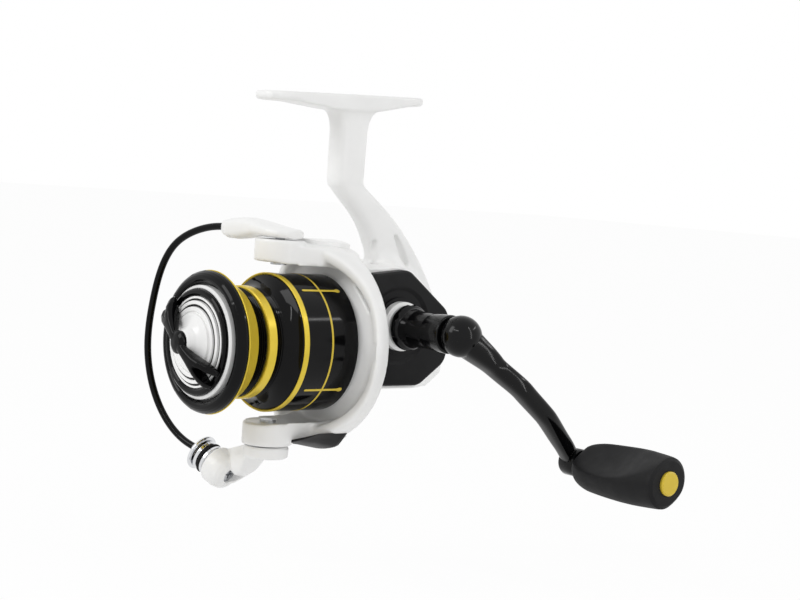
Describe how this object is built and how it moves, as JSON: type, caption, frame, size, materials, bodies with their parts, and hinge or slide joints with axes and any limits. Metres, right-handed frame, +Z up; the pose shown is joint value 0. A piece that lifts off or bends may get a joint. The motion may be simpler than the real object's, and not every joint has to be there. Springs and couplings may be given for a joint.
{
  "type": "spinning reel",
  "caption": "Front-drag fishing reel with a rod foot, spinning rotor and bail, skirted spool, side crank handle and paddle knob.",
  "frame": {"origin": "centre of the sole of the rod foot, on the face that lies against the rod", "axes": "-Y along the main shaft towards the spool, +X along the crank axle towards the handle, +Z up towards the rod"},
  "size_m": [0.1539, 0.1285, 0.1326],
  "materials": {
    "white_plastic": "gloss",
    "dark_plastic": "satin",
    "black_metal": "gloss",
    "black_aluminium": "anodised",
    "yellow_trim": "satin",
    "steel": "brushed",
    "chrome": "polished",
    "brass": "satin",
    "zinc_gear": "as cast",
    "natural_plastic": "satin",
    "felt": "felt"
  },
  "bodies": {
    "frame": {"body": "white_plastic", "side_cover": "dark_plastic", "side_cover_screws": "steel", "axle_collar": "white_plastic", "axle_cap": "dark_plastic", "pinion_bearing": "steel", "left_axle_bearing": "steel", "right_axle_bearing": "steel", "roller_clutch": "steel", "clutch_retainer": "dark_plastic", "guide_rod": "steel", "cross_gear_post": "steel"},
    "crank": {"drive_axle": "steel", "drive_gear": "zinc_gear", "crank_cross_gear": "natural_plastic", "handle_shank": "black_metal", "handle_arm": "black_metal", "grip_axle": "steel"},
    "cross_gear": {"oscillation_gear": "natural_plastic"},
    "rotor": {"rotor": "white_plastic", "rotor_nut": "steel", "pinion": "brass", "upper_arm_cover": "white_plastic", "lower_arm_cover": "dark_plastic", "bail_spring": "steel", "spring_rod": "steel", "pivot_pins": "steel"},
    "bail": {"bail_cam": "white_plastic", "bail_wire": "black_metal", "roller_arm": "white_plastic", "roller_screw": "steel", "roller_bush": "brass", "wire_foot": "chrome"},
    "line_roller": {"line_roller": "chrome"},
    "shaft": {"main_shaft": "steel", "slider": "zinc_gear", "slider_screw": "steel", "spool_seat": "natural_plastic"},
    "spool": {"spool": "black_aluminium", "spool_skirt": "black_aluminium", "spool_lip": "black_aluminium", "line_clip": "dark_plastic", "spool_bush": "brass", "drag_washers": "felt", "drag_retainer": "steel"},
    "drag_knob": {"drag_knob": "white_plastic", "drag_knob_ring": "black_metal", "drag_knob_grip": "black_metal", "drag_knob_cone": "white_plastic", "drag_nut": "steel", "drag_spring": "steel"},
    "handle_knob": {"grip": "dark_plastic", "grip_bushes": "natural_plastic", "grip_cap": "yellow_trim"}
  },
  "joints": [
    {"name": "crank_turn", "type": "hinge", "parent": "frame", "child": "crank", "pos_m": [0, 0.0152, -0.0736], "axis": [1, 0, 0], "continuous": true},
    {"name": "rotor_spin", "type": "hinge", "parent": "frame", "child": "rotor", "pos_m": [0, -0.0148, -0.081], "axis": [0, 1, 0], "continuous": true},
    {"name": "cross_gear_spin", "type": "hinge", "parent": "frame", "child": "cross_gear", "pos_m": [-0.0095, 0.0302, -0.081], "axis": [1, 0, 0], "continuous": true},
    {"name": "spool_stroke", "type": "slide", "parent": "frame", "child": "shaft", "axis": [0, -1, 0], "range_m": [0, 0.013]},
    {"name": "spool_slip", "type": "hinge", "parent": "shaft", "child": "spool", "pos_m": [0, -0.0348, -0.081], "axis": [0, 1, 0], "continuous": true},
    {"name": "drag_knob_turn", "type": "hinge", "parent": "shaft", "child": "drag_knob", "pos_m": [0, -0.0508, -0.081], "axis": [0, 1, 0], "range_deg": [-360, 720]},
    {"name": "bail_swing", "type": "hinge", "parent": "rotor", "child": "bail", "pos_m": [0, -0.0208, -0.081], "axis": [0, 0, 1], "range_deg": [0, 112]},
    {"name": "line_roller_spin", "type": "hinge", "parent": "bail", "child": "line_roller", "pos_m": [-0.01758, -0.02551, -0.1246], "axis": [-0.8824, -0.2364, 0.4067], "continuous": true},
    {"name": "handle_knob_spin", "type": "hinge", "parent": "crank", "child": "handle_knob", "pos_m": [0.08, 0.06044, -0.11362], "axis": [1, 0, 0], "continuous": true}
  ],
  "couplings": [
    {"joint": "rotor_spin", "follows": "crank_turn", "ratio": 4.7},
    {"joint": "cross_gear_spin", "follows": "crank_turn", "ratio": -0.9}
  ]
}
